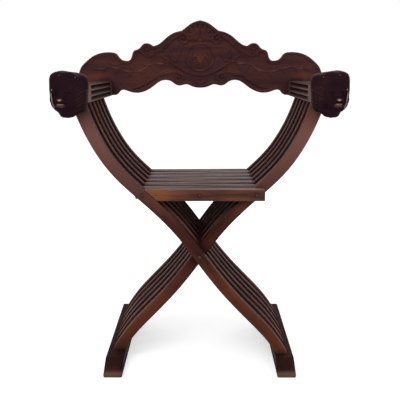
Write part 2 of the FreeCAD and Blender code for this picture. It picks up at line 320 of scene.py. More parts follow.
def lay_grain(bm, rule):
    # Each point keeps where it lies along, across and into its plank, so that the fibres follow the piece
    layer = bm.verts.layers.float_vector.new("grain")
    shift = Vector([draw.uniform(0, 9) for _ in range(3)])
    for vert in bm.verts:
        vert[layer] = Vector(rule(vert.co)) + shift


def flip_across(bm):
    bmesh.ops.scale(bm, vec=(-1, 1, 1), verts=bm.verts)
    bmesh.ops.reverse_faces(bm, faces=bm.faces)


def piece(name, bm, body, material, node, smooth=0.6):
    made = add_object(name, bm)
    mesh = made.data
    mesh.materials.append(material)
    mesh.polygons.foreach_set("use_smooth", [True] * len(mesh.polygons))
    mesh.set_sharp_from_angle(angle=smooth)
    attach(made, body)
    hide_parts(node)


walnut = wood("dark_walnut", (60, 31, 27), (34, 18, 17), (88, 47, 31), (124, 84, 70), (12, 7, 8), gloss=0.02)
stained(walnut, "wear_and_sheen", (106, 82, 70))
stained(walnut, "grime_and_shade", (30, 17, 20), dull=True)


def make_runner(name, body, node, left):
    bm = bmesh.new()
    (x0, y0, z0), (x1, y1, z1) = runner_low, runner_high
    profile = [(y0, z0), (y0, z0 + runner_tip), (y0 + runner_slope, z1), (y1 - runner_slope, z1),
               (y1, z0 + runner_tip), (y1, z0)]
    prism(bm, [(x0, y, z) for y, z in profile], (x1 - x0, 0, 0))
    ease(bm, bm.edges[:], runner_round, 4)
    for share in runner_splits:
        for along in (y0 + runner_slope * share, y1 - runner_slope * share):
            split(bm, (0, along, 0), (0, 1, 0))
    if left:
        flip_across(bm)
    lay_grain(bm, lambda co: (co.y, co.x, co.z))
    # Shoes and the floor scuff the tips, and the rest is dark with dust and wax
    wear_and_sheen, grime_and_shade = masks(bm, "wear_and_sheen", "grime_and_shade")
    for vert in bm.verts:
        from_tip = min(vert.co.y - y0, y1 - vert.co.y) / runner_slope
        vert[wear_and_sheen] = runner_rubbed * fade(from_tip, 0.3, 0.06)
        vert[grime_and_shade] = runner_grimed * fade(from_tip, 0.0, 0.4)
    piece(name, bm, body, walnut, node)


make_runner("sled_right", "left_frame", "runner_right", False)
make_runner("sled_left", "right_frame", "runner_left", True)


# Legs
# Twelve S-curved slats sawn from walnut, their arrises rounded by hand, in two sets that pass between each
# other. Each is tenoned into its arm and its runner.

layer_count = 12
layer_pitch = 0.03
slat_thick = 0.0292
leg_width = 0.025
leg_top_width = 0.031
leg_foot_width = 0.023
leg_round = 0.0018
leg_steps = 48
crossing_height = 0.272
seat_rod_height = 0.421
rod_spread = 0.134
arm_offset = 0.281
leg_reach = 0.277
foot_offset = 0.199
arm_bottom = 0.6335
foot_height = 0.032
first_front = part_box("leg_left_1")[0][1]
leg_shares_up = [(1.046, 1.1), (1.0, 1.0), (0.932, 0.866), (0.824, 0.706), (0.705, 0.578)]
leg_shares_low = [(0.311, 0.289), (0.146, 0.151)]
leg_shares_down = [(0.32, 0.345), (0.613, 0.607), (0.85, 0.82), (1.0, 1.0), (1.1, 1.15)]
skin_depth = 0.0004


def leg_points():
    # The middle line from above the arm to below the runner, through the side rod and the crossing rod
    def placed(shares, reach, rise):
        return [(x * reach, crossing_height + z * rise) for x, z in shares]
    rise, drop = arm_bottom - crossing_height, foot_height - crossing_height
    return np.array(placed(leg_shares_up, -leg_reach, rise) + [(-rod_spread, seat_rod_height)]
                    + placed(leg_shares_low, -leg_reach, rise) + [(0.0, crossing_height)]
                    + placed(leg_shares_down, foot_offset, drop))


class SmoothLine:
    """A cubic spline through points, measured by the straight distances between them."""

    def __init__(self, points):
        self.points = points
        steps = np.linalg.norm(np.diff(points, axis=0), axis=1)
        self.at = np.concatenate([[0.0], np.cumsum(steps)])
        count = len(points)
        system = np.eye(count)
        known = np.zeros((count, 2))
        for i in range(1, count - 1):
            before, after = steps[i - 1], steps[i]
            system[i, i - 1:i + 2] = before, 2 * (before + after), after
            known[i] = 6 * ((points[i + 1] - points[i]) / after - (points[i] - points[i - 1]) / before)
        self.bend = np.linalg.solve(system, known)
        self.steps = steps

    def value(self, at):
        i = int(np.clip(np.searchsorted(self.at, at) - 1, 0, len(self.steps) - 1))
        step = self.steps[i]
        left, right = (self.at[i + 1] - at) / step, (at - self.at[i]) / step
        curve = ((left ** 3 - left) * self.bend[i] + (right ** 3 - right) * self.bend[i + 1]) * step ** 2 / 6
        return left * self.points[i] + right * self.points[i + 1] + curve

    def along(self, at):
        small = self.at[-1] / 1000
        step = self.value(at + small) - self.value(at - small)
        return step / np.linalg.norm(step)


leg_line = SmoothLine(leg_points())
leg_length = leg_line.at[-1]
leg_crossing_at = leg_line.at[len(leg_shares_up) + 1 + len(leg_shares_low)]


def leg_place(at, across):
    # A point of the leg's outline: at is the distance along its middle line, across the offset from it
    point, along = leg_line.value(at), leg_line.along(at)
    if at < leg_crossing_at:
        end_width, share = leg_top_width, (leg_crossing_at - at) / leg_crossing_at
    else:
        end_width, share = leg_foot_width, (at - leg_crossing_at) / (leg_length - leg_crossing_at)
    across *= 1 + (end_width / leg_width - 1) * share ** 2
    return point[0] - along[1] * across, point[1] + along[0] * across


def box(size, centre=(0, 0, 0)):
    bm = bmesh.new()
    bmesh.ops.create_cube(bm, size=1.0)
    bmesh.ops.scale(bm, vec=size, verts=bm.verts)
    bmesh.ops.translate(bm, vec=centre, verts=bm.verts)
    return bm


def layer_middle(layer):
    return first_front + (layer - 1) * layer_pitch + slat_thick / 2


leg_walnut = wood("leg_walnut", (66, 34, 29), (38, 20, 18), (104, 57, 38), (128, 92, 84), (11, 6, 8),
                  glow=0.8, gloss=0.015)
stained(leg_walnut, "wear_and_sheen", (136, 96, 88))
stained(leg_walnut, "glowing", (112, 64, 42))
stained(leg_walnut, "grime_and_shade", (30, 18, 21), dull=True)


def make_leg(layer):
    bm = box((leg_length, leg_width, slat_thick))
    ease(bm, long_edges(bm, 0), leg_round, 3)
    bmesh.ops.subdivide_edges(bm, edges=long_edges(bm, 0), cuts=leg_steps)
    lay_grain(bm, lambda co: co)
    middle = layer_middle(layer)
    for vert in bm.verts:
        x, z = leg_place(vert.co.x + leg_length / 2, vert.co.y)
        vert.co = (x, middle - vert.co.z, z)
    split(bm, (0, 0, arm_bottom), (0, 0, 1), clear_outer=True)
    split(bm, (0, 0, foot_height), (0, 0, 1), clear_inner=True)
    # The front slats' faces are paled by a painted sheen, most of all up near the arms, with painted shade
    # under the heads at the very top, and they glow red lower down. Painted shade darkens the faces that
    # look into the gaps and, under the seat, the side faces, while the gap faces there are mixed a little
    # paler.
    wear_and_sheen, grime_and_shade, glowing = masks(bm, "wear_and_sheen", "grime_and_shade", "glowing")
    for vert in bm.verts:
        height = vert.co.z
        under_seat = fade(height, 0.27, 0.31) * fade(height, 0.425, 0.405)
        if layer < 3 and vert.co.y < middle:
            vert[wear_and_sheen] = 0.6 * fade(height, 0.3, 0.6) * max(0.35, fade(height, 0.66, 0.56))
            vert[glowing] = 0.3 * fade(height, 0.3, 0.18)
        elif abs(vert.co.y - middle) > slat_thick / 2 - skin_depth:
            vert[grime_and_shade] = (0.85 if height > crossing_height else 0.6) * (1 - under_seat)
            vert[wear_and_sheen] = 0.38 * under_seat
        else:
            vert[grime_and_shade] = 0.93 * under_seat
    falling = layer % 2 == 1
    if not falling:
        flip_across(bm)
    side, body = ("left", "left_frame") if falling else ("right", "right_frame")
    node = f"leg_{side}_{(layer + 1) // 2}"
    piece("curved_" + node, bm, body, leg_walnut, node)


for layer in range(1, layer_count + 1):
    make_leg(layer)


# Rods
# Four steel rods hold the slats together and turn in them. Their ends are hammered into small domes.

steel = bpy.data.materials.new("dark_steel")
steel.use_nodes = True
shader = steel.node_tree.nodes["Principled BSDF"]
shader.inputs["Base Color"].default_value = srgb(56, 39, 39)
shader.inputs["Metallic"].default_value = 0.8
shader.inputs["Roughness"].default_value = 0.42
for name in ("rod_crossing", "rod_left", "rod_right", "rod_middle_odd", "rod_middle_even"):
    for material_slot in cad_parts[name].material_slots:
        material_slot.material = steel


# Seat slats
# Twelve straight slats, one in each layer. One end turns on a side rod, and the other is cut along the leg.

seat_height = 0.027
seat_overhang = 0.0195
seat_round = 0.0022
seat_thick = 0.0286
seat_end_gap = 0.0016
seat_sag = (-0.1, 0.22)
seat_sheen = 0.38
seat_shade = 0.75
seat_wood = wood("seat_walnut", (80, 43, 32), (48, 26, 20), (134, 80, 46), (132, 92, 76), (16, 9, 9),
                 figure=0.9, glow=0.7, wear=0.5, gloss=0.12)
stained(seat_wood, "wear_and_sheen", (146, 122, 120))
stained(seat_wood, "grime_and_shade", (30, 18, 20), dull=True)


def leg_edge_at(height):
    # Where the edge of the left leg that faces the sitter reaches a height
    low, high = 0.0, leg_crossing_at
    for _ in range(40):
        middle = (low + high) / 2
        if leg_place(middle, leg_width / 2)[1] > height:
            low = middle
        else:
            high = middle
    return leg_place(low, leg_width / 2)[0]


def make_seat_slat(layer):
    size = (2 * (rod_spread + seat_overhang), seat_thick, seat_height)
    bm = box(size, (0, layer_middle(layer), seat_rod_height))
    ease(bm, bm.edges[:], seat_round, 2)
    low, high = seat_rod_height - seat_height / 2, seat_rod_height + seat_height / 2
    x_low, x_high = leg_edge_at(low) + seat_end_gap, leg_edge_at(high) + seat_end_gap
    split(bm, (x_low, 0, low), (high - low, 0, x_low - x_high), clear_inner=True)
    # Play at the rods has let the slats sag unevenly
    if layer > 1:
        rod = Vector((rod_spread, 0, seat_rod_height))
        sag = Matrix.Rotation(math.radians(draw.uniform(*seat_sag)), 3, "Y")
        bmesh.ops.rotate(bm, cent=rod, matrix=sag, verts=bm.verts)
    odd = layer % 2 == 1
    if not odd:
        flip_across(bm)
    lay_grain(bm, lambda co: (co.x, co.z, co.y))
    # A painted sheen pales the tops, and painted shade darkens the sides and undersides of all but the front
    # half of the first slat
    wear_and_sheen, grime_and_shade = masks(bm, "wear_and_sheen", "grime_and_shade")
    for vert in bm.verts:
        if vert.normal.z > 0.9:
            vert[wear_and_sheen] = seat_sheen
        elif layer > 1 or vert.co.y > layer_middle(layer):
            vert[grime_and_shade] = seat_shade
    node = "seat_slat_" + str(layer)
    piece("plain_" + node, bm, "seat_odd" if odd else "seat_even", seat_wood, node)


for layer in range(1, layer_count + 1):
    make_seat_slat(layer)


# Arms
# Two walnut rails over the tops of the legs, with three round-ended flutes on each side face.

flute_radius = 0.0064
flute_depth = 0.003
flute_pitch = 0.0134
flute_margin = 0.046
arm_round = 0.003
arm_width = 0.044
dovetail_neck = 0.012
dovetail_width = 0.018
dovetail_height = 0.032
dovetail_depth = 0.012
crest_thick = 0.026
crest_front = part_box("crest_rail")[1][1] - crest_thick
joint_clearance = 0.0003
flute_skin = 0.0004
collar_line = 0.0009
collar_line_share = 0.955
arm_splits = 7


def apply_modifiers(made):
    bpy.context.view_layer.update()
    finished = bpy.data.meshes.new_from_object(made.evaluated_get(bpy.context.evaluated_depsgraph_get()))
    made.modifiers.clear()
    made.data = finished
    return made


def combined(bm, tool_bm, operation):
    # The two closed meshes joined, intersected or cut, as a new bmesh
    body, tool = add_object("body", bm), add_object("tool", tool_bm)
    cut = body.modifiers.new("cut", "BOOLEAN")
    cut.object = tool
    cut.operation = operation
    cut.solver = "EXACT"
    apply_modifiers(body)
    result = bmesh.new()
    result.from_mesh(body.data)
    bpy.data.objects.remove(tool)
    bpy.data.objects.remove(body)
    return result


def crest_joints(side_clearance):
    # A dovetail on the left and a lap behind the right arm's shoulder. With clearance they are the cuts.
    bm = bmesh.new()
    arm_rear, arm_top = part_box("arm_left")[1][1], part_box("arm_left")[1][2]
    neck, wide = dovetail_neck / 2 + side_clearance, dovetail_width / 2 + side_clearance
    front, rear = arm_rear - dovetail_depth - side_clearance, crest_front + crest_thick / 2
    over = side_clearance * 10
    dovetail = [(-neck, rear), (-neck, arm_rear), (-wide, front), (wide, front), (neck, arm_rear),
                (neck, rear)]
    outer = arm_width / 2 + over
    lap = [(-wide, rear), (-wide, front), (outer, front), (outer, rear)]
    low_end = arm_top - dovetail_height - side_clearance
    for plan, centre, low, high in ((dovetail, -arm_offset, low_end, arm_top + over),
                                    (lap, arm_offset, arm_bottom - over, arm_top + over)):
        prism(bm, [(centre + x, y, low) for x, y in plan], (0, 0, high - low))
    return bm


def flutes(centre, half_width, length):
    # Rounded bars to be cut from the two sides, three above each other
    bm = bmesh.new()
    for way in (-1, 1):
        for row in (-1, 0, 1):
            grown = bmesh.ops.create_uvsphere(bm, u_segments=24, v_segments=16, radius=flute_radius)["verts"]
            bmesh.ops.rotate(bm, matrix=Matrix.Rotation(math.pi / 2, 3, "X"), verts=grown)
            for vert in grown:
                vert.co.y += math.copysign(length / 2, vert.co.y)
            place = Vector((way * (half_width + flute_radius - flute_depth), 0, row * flute_pitch))
            bmesh.ops.translate(bm, vec=centre + place, verts=grown)
    return bm


def make_arm(name, body, node, left):
    low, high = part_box("arm_right")
    low = Vector((low[0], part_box("head_right")[1][1], low[2]))
    size = Vector(high) - low
    centre = low + size / 2
    bm = box(size, centre)
    ease(bm, long_edges(bm, 1), arm_round, 4)
    flute_length = size.y - 2 * (flute_margin + flute_radius)
    bm = combined(bm, flutes(centre, size.x / 2, flute_length), "DIFFERENCE")
    bm = combined(bm, crest_joints(joint_clearance), "DIFFERENCE")
    # A scored line ends the plain collar behind the head
    collar = low.y + flute_margin
    line = [collar - collar_line, collar, collar + collar_line]
    for along in line + list(np.linspace(collar + 0.05, high[1] - 0.03, arm_splits)):
        split(bm, (0, along, 0), (0, 1, 0))
    scored = [vert for vert in bm.verts if abs(vert.co.y - collar) < 1e-5]
    around = Matrix.Translation((-centre.x, 0, -centre.z))
    bmesh.ops.scale(bm, vec=(collar_line_share, 1, collar_line_share), space=around, verts=scored)
    # A painted sheen pales the flat bands and the collar, less towards the crest. In the flutes painted
    # shade darkens the upper half, which faces down, and painted light pales the lower half, which faces up.
    # Painted shade darkens the scored line.
    wear_and_sheen, grime_and_shade = masks(bm, "wear_and_sheen", "grime_and_shade")
    for vert in bm.verts:
        sunk = size.x / 2 - abs(vert.co.x - centre.x)
        toward_crest = (vert.co.y - low.y) / size.y
        from_axis = (vert.co.z - centre.z + flute_pitch * 1.5) % flute_pitch - flute_pitch / 2
        if sunk < flute_skin:
            vert[wear_and_sheen] = 0.75 - 0.55 * toward_crest
        elif vert.co.y > collar + 0.002 and abs(vert.co.z - centre.z) < flute_pitch + flute_radius:
            vert[grime_and_shade] = fade(sunk, 0, 0.0018) * fade(from_axis, -0.003, 0.001)
            vert[wear_and_sheen] = (0.5 - 0.4 * toward_crest) * fade(from_axis, -0.001, -0.005)
        elif vert in scored:
            vert[grime_and_shade] = 0.8
    if left:
        flip_across(bm)
    lay_grain(bm, lambda co: (co.y, co.z, co.x))
    piece(name, bm, body, arm_walnut, node, smooth=0.5)


arm_walnut = wood("arm_walnut", (58, 32, 30), (34, 19, 19), (78, 44, 33), (130, 100, 94), (12, 7, 8),
                  gloss=0.006)
stained(arm_walnut, "wear_and_sheen", (132, 104, 100))
stained(arm_walnut, "grime_and_shade", (26, 15, 16), dull=True)
make_arm("fluted_arm_right", "right_frame", "arm_right", False)
make_arm("fluted_arm_left", "left_frame", "arm_left", True)


# Heads
# A lion's head is carved from one dark block on the front end of each arm, above the front leg. A thin
# rim closes it behind. Its face is low and small; hands have worn the nose and the lips pale, and painted
# highlights brighten them and a line down the cheek.

head_low, head_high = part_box("head_right")
head_front = head_low[1] + 0.031
head_rim_depth = 0.002
head_rim_proud = 0.001
head_rim_round = 0.0004
head_inner = head_low[0] + head_rim_proud
head_outer = head_high[0] - head_rim_proud
head_bottom, head_top = head_low[2], head_high[2] - head_rim_proud
head_jaw_clear = 0.0008
head_taper_share = 0.0835
head_taper_start = 0.011
head_rounding = [(0.0, 0.78), (0.0015, 0.85), (0.004, 0.9), (0.008, 0.945), (0.013, 0.98), (0.019, 1.0)]
head_shares = [(0.095, 0.151), (0.26, 0.112), (0.43, 0.054), (0.593, 0.0), (0.741, 0.044),
               (0.81, 0.141), (0.884, 0.18), (0.955, 0.307), (0.998, 0.54), (1.0, 0.784),
               (0.954, 0.944), (0.833, 1.0), (0.513, 0.988), (0.227, 0.959), (0.055, 0.901),
               (0.0, 0.784), (0.015, 0.443), (0.038, 0.248)]
head_cell = 0.0012
head_soften = 9
face_place = (0.3075, head_front, 0.6435)
face_out = math.radians(5)
face_down = math.radians(4)
face_forms = [
    ((-0.0115, 0.01, 0.012), (0.043, 0.0205, 0.05), 0),
    ((-0.004, 0.004, 0.002), (0.0345, 0.02, 0.034), 0),
    ((-0.001, 0.0, -0.006), (0.0275, 0.0215, 0.021), 0),
    ((-0.001, -0.005, 0.013), (0.0125, 0.013, 0.021), -22),
    ((0.0, -0.0195, 0.0008), (0.0118, 0.0075, 0.0052), -10),
    ((0.0, -0.0125, -0.0102), (0.015, 0.0115, 0.0062), 0),
    ((-0.002, -0.004, -0.0195), (0.0165, 0.0135, 0.0105), 0),
    ((-0.0105, 0.002, -0.0275), (0.0215, 0.0125, 0.013), 0),
]
face_side_forms = [
    ((0.0135, -0.0105, 0.0215), (0.0098, 0.0058, 0.0042), 16),
    ((0.0135, -0.0105, 0.0155), (0.0052, 0.0048, 0.0042), 0),
    ((0.0075, -0.0125, -0.002), (0.0115, 0.0112, 0.0052), 0),
]
mouth = [(-0.017, -0.0125, -0.0048), (-0.009, -0.0205, -0.0044), (0, -0.0225, -0.0046),
         (0.009, -0.0205, -0.0044), (0.017, -0.0125, -0.0048)]
chin = [(-0.014, -0.015, -0.0165), (0, -0.0205, -0.0162), (0.014, -0.015, -0.0165)]
cheek = np.array([(0.0236, 0, 0.024), (0.0227, 0, 0.013), (0.0208, 0, 0.004), (0.018, 0, -0.005),
                  (0.0148, 0, -0.0145)])
cheek_hollow = cheek - (0.0052, 0, 0)
side_grooves = [
    ([(0.0034, -0.0275, 0.0005), (0.0066, -0.0235, -0.0006)], 0.0019, 0.0017),
    ([(0.0075, -0.0135, 0.0158), (0.0135, -0.0145, 0.0188), (0.0205, -0.0115, 0.0162)], 0.0008, 0.0019),
    ([(0.0075, -0.0135, 0.0142), (0.0135, -0.0145, 0.0112), (0.02, -0.0115, 0.0135)], 0.0007, 0.0016),
    ([(0.0088, -0.014, 0.0125), (0.0135, -0.0175, 0.0035), (0.0185, -0.0145, -0.0025)], 0.0009, 0.003),
]
lock_depth = 0.0009
stroke_depth = 0.0007
stroke_pitch = 0.0052
hatch_depth = 0.0006
hatch_pitch = 0.0075
worn_spots = [((0, -0.0265, 0.0018), (0.0072, 0.012, 0.0042), 1.05),
              ((0, -0.0235, -0.0084), (0.0135, 0.014, 0.0038), 0.62)]
faded_spots = [((0, -0.0235, -0.0115), (0.0145, 0.016, 0.0075), 0.3),
               ((0.004, -0.016, 0.006), (0.024, 0.02, 0.028), 0.1)]
# Painted highlights on the nose tip and the lower lip
highlight_spots = [((0, -0.0265, 0.0022), (0.0038, 0.012, 0.002), 0.62),
                ((0, -0.0235, -0.0068), (0.0105, 0.014, 0.0014), 0.4)]
pale_dots = [((0.0065, 0, 0.0545), 0.0016, 0.3), ((-0.0313, 0, 0.051), 0.0016, 0.3)]
rim_rubbed = 0.45


def lump(bm, centre, radii, axis, degrees):
    grown = bmesh.ops.create_uvsphere(bm, u_segments=28, v_segments=18, radius=1.0)["verts"]
    bmesh.ops.scale(bm, vec=radii, verts=grown)
    bmesh.ops.rotate(bm, matrix=Matrix.Rotation(math.radians(degrees), 3, axis), verts=grown)
    bmesh.ops.translate(bm, vec=centre, verts=grown)
    return grown


def face_lumps(bm):
    # The face stands at the origin and looks along -Y; its nose tip is at the level of the origin
    grown = []
    for centre, radii, tilt in face_forms:
        grown += lump(bm, centre, radii, "X", tilt)
    for side in (-1, 1):
        for (x, y, z), radii, tilt in face_side_forms:
            grown += lump(bm, (side * x, y, z), radii, "Y", side * tilt)
    return grown


def head_outline(share, back):
    # The closed outline seen from the front, drawn in towards its middle by share. Its inner side comes in
    # line with the arm towards the rear.
    points = np.array(head_shares[-3:] + head_shares + head_shares[:4]) - 0.5
    points *= (head_outer - head_inner, head_top - head_bottom)
    line = SmoothLine(points * share + ((head_outer + head_inner) / 2, (head_top + head_bottom) / 2))
    rear = head_high[1] - head_front
    taper = head_taper_share * max(0.0, back - head_taper_start) / (rear - head_taper_start)
    ring = [line.value(at) for at in np.linspace(line.at[3], line.at[3 + len(head_shares)], 73)[:-1]]
    return [(head_outer - (head_outer - x) * (1 - taper), z) for x, z in ring]


def head_block():
    # The outline drawn back from a rounded front to the arm, with the room for the front leg cut away below
    bm = bmesh.new()
    rings = []
    for back, share in head_rounding + [(head_high[1] - head_rim_depth - head_front, 1.0)]:
        rings.append([bm.verts.new((x, head_front + back, z)) for x, z in head_outline(share, back)])
    edges = [[bm.edges.new((ring[i - 1], ring[i])) for i in range(len(ring))] for ring in rings]
    for before, after in zip(edges[:-1], edges[1:]):
        bmesh.ops.bridge_loops(bm, edges=before + after)
    for ring in (rings[0], rings[-1]):
        bm.faces.new(ring)
    bmesh.ops.recalc_face_normals(bm, faces=bm.faces)
    room = box((0.2, 0.1, 0.1), (face_place[0], first_front - head_jaw_clear + 0.05, arm_bottom - 0.05))
    return combined(bm, room, "DIFFERENCE")


def head_rim():
    # The thin plate between the mane and the arm, standing a little proud
    bm = bmesh.new()
    share = 1 + 2 * head_rim_proud / (head_outer - head_inner)
    plate = head_high[1] - head_rim_depth
    prism(bm, [(x, plate, z) for x, z in head_outline(share, plate - head_front)], (0, head_rim_depth, 0))
    split(bm, (0, 0, arm_bottom), (0, 0, 1), clear_inner=True)
    edges = [edge for edge in bm.edges if abs(edge.verts[0].co.y - edge.verts[1].co.y) < 1e-6]
    ease(bm, edges, head_rim_round, 2)
    wear_and_sheen, = masks(bm, "wear_and_sheen")
    for vert in bm.verts:
        vert[wear_and_sheen] = rim_rubbed
    return bm


def remeshed(bm):
    body = add_object("block", bm)
    skin = body.modifiers.new("skin", "REMESH")
    skin.mode = "VOXEL"
    skin.voxel_size = head_cell
    smooth = body.modifiers.new("smooth", "SMOOTH")
    smooth.factor = 0.5
    smooth.iterations = head_soften
    return apply_modifiers(body)


def nearest(places, line):
    # For each place, how far the line is, and its nearest spot in numbers of the line's stretches
    best = np.full(len(places), np.inf)
    spot = np.zeros(len(places))
    for index, (start, end) in enumerate(zip(line[:-1], line[1:])):
        along = end - start
        at = np.clip((places - start) @ along / (along @ along), 0, 1)
        away = np.linalg.norm(places - start - at[:, None] * along, axis=1)
        nearer = away < best
        best[nearer] = away[nearer]
        spot[nearer] = index + at[nearer]
    return best, spot


def groove(places, normals, line, depth, half):
    # Moves the points near a line in along their normals, or out where the depth is negative
    away, spot = nearest(places, np.array(line))
    share = spot / (len(line) - 1)
    ends = np.clip(np.minimum(share, 1 - share) * 6, 0.2, 1)
    fall = fade((away / half) ** 2, 1, 0) ** 1.5
    return -(depth * ends * fall)[:, None] * normals


def spotted(places, spots, reach=1.15):
    # Each spot has its strength in the middle and ends a little past its spread
    mask = np.zeros(len(places))
    for spot, spread, strength in spots:
        near = np.linalg.norm((places - spot) / spread, axis=1)
        mask = np.maximum(mask, strength * fade(near ** 2, reach, reach - 1))
    return mask


def make_head(name, body, node, left):
    bm = head_block()
    face = face_lumps(bm)
    turn = Matrix.Rotation(face_out, 3, "Z") @ Matrix.Rotation(face_down, 3, "X")
    bmesh.ops.rotate(bm, matrix=turn, verts=face)
    bmesh.ops.translate(bm, vec=face_place, verts=face)
    block = remeshed(bm)
    mesh = block.data
    flat = np.empty(len(mesh.vertices) * 3, dtype=np.float32)
    mesh.vertices.foreach_get("co", flat)
    places = flat.reshape(-1, 3).astype(float)
    mesh.vertex_normals.foreach_get("vector", flat)
    turn = np.array(turn)
    local = (places - face_place) @ turn
    bare = flat.reshape(-1, 3).astype(float) @ turn
    x, z = local[:, 0], local[:, 2]
    # The cheek's line is drawn flat, as seen from the front, and faces that look back are put far from it
    flat_places = np.where(bare[:, 1:2] < -0.05, local * (1, 0, 1), 9.0)

    moved = groove(local, bare, mouth, 0.0042, 0.0022) + groove(local, bare, chin, 0.0016, 0.0028)
    moved += groove(flat_places, bare, cheek, -0.0016, 0.0032)
    moved += groove(flat_places, bare, cheek_hollow, 0.0016, 0.0034)
    # Nostrils, the lids of the eyes and the folds beside the nose
    for side in (-1, 1):
        for line, depth, half in side_grooves:
            moved += groove(local, bare, np.array(line) * (side, 1, 1), depth, half)
    # Soft locks of the mane stream back over the lower side, and short strokes stand along its rear edge
    across, up = x + 0.006, z - 0.006
    behind = places[:, 1] - head_front
    around, away = np.arctan2(up, across), np.hypot(across, up)
    locks = np.abs(np.sin(around * 9 + 0.5 * np.sin(behind * 160) + 0.4 * np.sin(away * 170)))
    mane = fade(away, 0.03, 0.036) * fade(behind, -0.004, 0.002) * fade(behind, 0.044, 0.04)
    mane *= np.maximum(fade(z, 0.03, 0), 0.25)
    sunk = mane * lock_depth * (1 - locks) ** 1.8
    strokes = np.abs(np.sin((places[:, 2] + places[:, 1] * 0.9) * math.pi / stroke_pitch))
    band = fade(behind, 0.044, 0.047) * fade(places[:, 1], head_high[1] - 0.003, head_high[1] - 0.005)
    sunk += band * stroke_depth * (1 - strokes) ** 1.3
    # Slanted hatching covers the inner side of the front
    waver = 0.0007 * np.sin(x * 900) + 0.0009 * np.sin(z * 260 + x * 310)
    hatch = np.abs(np.sin((z * 0.9 + x * 0.6 + waver) * math.pi / hatch_pitch))
    inner = fade(x, -0.03, -0.033) * fade(behind, 0.02, 0.016)
    inner *= fade(z, -0.03, -0.024) * fade(z, 0.034, 0.028)
    sunk += inner * hatch_depth * (1 - hatch) ** 1.5
    places += (moved - sunk[:, None] * bare) @ turn.T
    mesh.vertices.foreach_set("co", places.astype(np.float32).ravel())
    mesh.update()

    # Worn nose and lips, paler where they face up as painted light from above; painted highlights on the
    # nose tip, the lip and along the cheek line, and two small pale dots near the top
    lit_from_above = np.clip(0.3 + 1.1 * bare[:, 2], 0, 1)
    wear_and_sheen = np.maximum(spotted(local, worn_spots) * lit_from_above, spotted(local, faded_spots))
    wear_and_sheen = np.maximum(wear_and_sheen, 0.2 * inner * fade(hatch, 0.75, 1) ** 2)
    painted_highlight = 0.62 * fade((nearest(flat_places, cheek)[0] / 0.0014) ** 2, 1.1, 0.1)
    painted_highlight = np.maximum(np.maximum(painted_highlight, spotted(flat_places, pale_dots, 1.2)), spotted(local, highlight_spots))
    bm = bmesh.new()
    bm.from_mesh(mesh)
    bpy.data.objects.remove(block)
    for mask, values in zip(masks(bm, "wear_and_sheen", "painted_highlight"), (wear_and_sheen, painted_highlight)):
        for vert, value in zip(bm.verts, values):
            vert[mask] = value
    rim = add_object("rim", head_rim())
    bm.from_mesh(rim.data)
    bpy.data.objects.remove(rim)
    if left:
        flip_across(bm)
    lay_grain(bm, lambda co: (co.y, co.z, co.x))
    piece(name, bm, body, head_walnut, node, smooth=3.2)


head_walnut = wood("head_walnut", (36, 20, 27), (25, 14, 19), (52, 30, 28), (72, 50, 52), (10, 5, 8),
                   figure=0.5, wear=0.35, gloss=0.008)
stained(head_walnut, "wear_and_sheen", (132, 94, 78))
stained(head_walnut, "painted_highlight", (186, 168, 158))
make_head("lion_head_right", "right_frame", "head_right", False)
make_head("lion_head_left", "left_frame", "head_left", True)


# Crest rail
# A walnut board sawn to a scalloped outline, its front carved in low relief with a lily in a ring, a
# palmette, scrolls and leaves. It drops into the left arm by a dovetail and laps the right one.

crest_low, crest_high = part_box("crest_rail")
crest_half_width = crest_high[0]
crest_bottom = crest_low[2]
crest_height = crest_high[2] - crest_bottom
crest_cell = 0.0017
crest_round = 0.003
border_width = 0.0075
border_groove = 0.002
groove_half = 0.0014
border_ease = 0.004
ground_depth = 0.0047
ridge_share = 0.9
face_proud = 0.0001
outline_step = 0.004
crest_lobe_shares = [(1.0, 0.29), (0.982, 0.375), (0.938, 0.455), (0.878, 0.53), (0.811, 0.571),
                     (0.738, 0.58), (0.692, 0.562), (0.667, 0.512), (0.642, 0.477), (0.615, 0.467)]
crest_step_shares = [(0.615, 0.467), (0.585, 0.469), (0.568, 0.496), (0.557, 0.552), (0.54, 0.602),
                     (0.512, 0.618), (0.49, 0.645), (0.468, 0.685), (0.435, 0.7), (0.403, 0.682),
                     (0.386, 0.662)]
crest_rise_shares = [(0.386, 0.662), (0.352, 0.676), (0.32, 0.709), (0.262, 0.79), (0.205, 0.842),
                     (0.15, 0.864)]
crest_crown_shares = [(0.15, 0.864), (0.112, 0.912), (0.068, 0.963), (0.0, 1.0)]
crest_under_shares = [(0.0, 0.104), (0.06, 0.118), (0.113, 0.15), (0.17, 0.134), (0.205, 0.15),
                      (0.24, 0.192), (0.28, 0.208), (0.318, 0.2), (0.36, 0.161), (0.41, 0.1),
                      (0.47, 0.05), (0.53, 0.036), (0.59, 0.056), (0.633, 0.077), (0.66, 0.066),
                      (0.68, 0.026), (0.71, 0.0)]
crest_end_shares = [(0.9, 0.0), (0.955, 0.04), (0.99, 0.14), (1.0, 0.29)]
glow_spots = [(0.305, 0.692, 0.05, 0.011, 0.36), (0.09, 0.7, 0.04, 0.012, 0.28),
              (0.0, 0.74, 0.022, 0.026, 0.3)]
ring = (0.0, 0.745)
fan = np.array((0.0, 0.7935))
shell = np.array((0.0, 0.6655))
lily_curl = [(0.004, 0.7325), (0.009, 0.7425), (0.0155, 0.7485), (0.0205, 0.745), (0.0195, 0.7385)]
